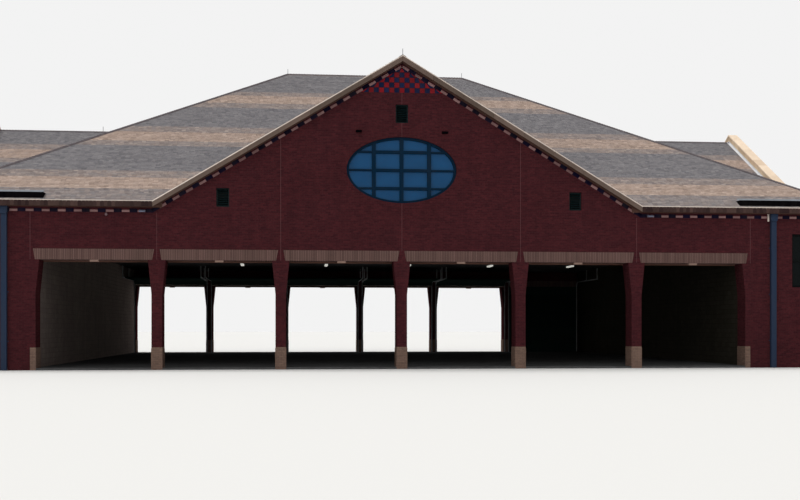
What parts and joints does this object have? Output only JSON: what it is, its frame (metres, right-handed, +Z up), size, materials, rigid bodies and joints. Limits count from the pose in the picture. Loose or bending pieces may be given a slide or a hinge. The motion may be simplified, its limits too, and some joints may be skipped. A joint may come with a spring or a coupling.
{
  "type": "fire station building",
  "caption": "Red brick fire station with drive-through bays on flared piers, a banded hipped roof, four gables, an oval window, louvres and sectional doors.",
  "frame": {"origin": "on the ground at the middle of the building's plan", "axes": "+X to the right seen from the front, +Y from the front to the rear, +Z up"},
  "size_m": [39.36, 28.54, 15.1304],
  "materials": {
    "brick": "red face brick in running bond, matt",
    "tan_brick": "tan face brick laid upright, matt",
    "concrete": "trowelled concrete floor, lightly worn",
    "block": "painted concrete block, greyish buff, satin",
    "ceiling_board": "dark grey painted board ceiling, matt",
    "shingles": "mineral shingles in grey with tan bands",
    "eaves_tan": "tan brick headers and board under the roof edge",
    "pale_metal": "pale painted drip edge, satin",
    "coping": "tan cast coping, matt",
    "vent_black": "black painted sheet metal, satin",
    "dark_frame": "dark green painted metal, satin",
    "window_glass": "tinted glass, clear and glossy",
    "door_panel": "dark green painted steel door sections",
    "track_steel": "galvanised steel track",
    "light_diffuser": "white fluorescent light housing and diffuser",
    "lamp_housing": "dark bronze painted lamp housing",
    "blue_metal": "dark slate blue painted metal, satin",
    "rod_metal": "bare aluminium rod",
    "pipe_plastic": "brownish grey vent pipe"
  },
  "bodies": {
    "root": {"floor_slab": "concrete", "piers": "brick", "pier_feet": "tan_brick", "door_lintels": "tan_brick", "front_wall_left": "brick", "front_wall_right": "brick", "front_wall_head": "brick", "front_gable_wall": "brick", "rear_wall_left": "brick", "rear_wall_right": "brick", "rear_wall_head": "brick", "rear_gable_wall": "brick", "left_wall": "brick", "right_wall": "brick", "left_gable_wall": "brick", "right_gable_wall": "brick", "left_bay_wall": "block", "right_bay_wall": "block", "bay_ceiling": "ceiling_board", "main_roof_front": "shingles", "main_roof_rear": "shingles", "main_roof_left": "shingles", "main_roof_right": "shingles", "front_gable_roof": "shingles", "rear_gable_roof": "shingles", "left_gable_roof": "shingles", "right_gable_roof": "shingles", "eaves": "eaves_tan", "drip_edges": "pale_metal", "parapet_copings": "coping", "eaves_vents": "vent_black", "oval_frames": "dark_frame", "oval_glass": "window_glass", "louvres": "dark_frame", "window_frames": "dark_frame", "window_glass": "window_glass", "sectional_doors": "door_panel", "upright_tracks": "track_steel", "level_tracks": "track_steel", "ceiling_lights": "light_diffuser", "outside_lights": "lamp_housing", "downspouts": "blue_metal", "roof_rods": "rod_metal", "vent_pipe": "pipe_plastic"}
  },
  "joints": []
}
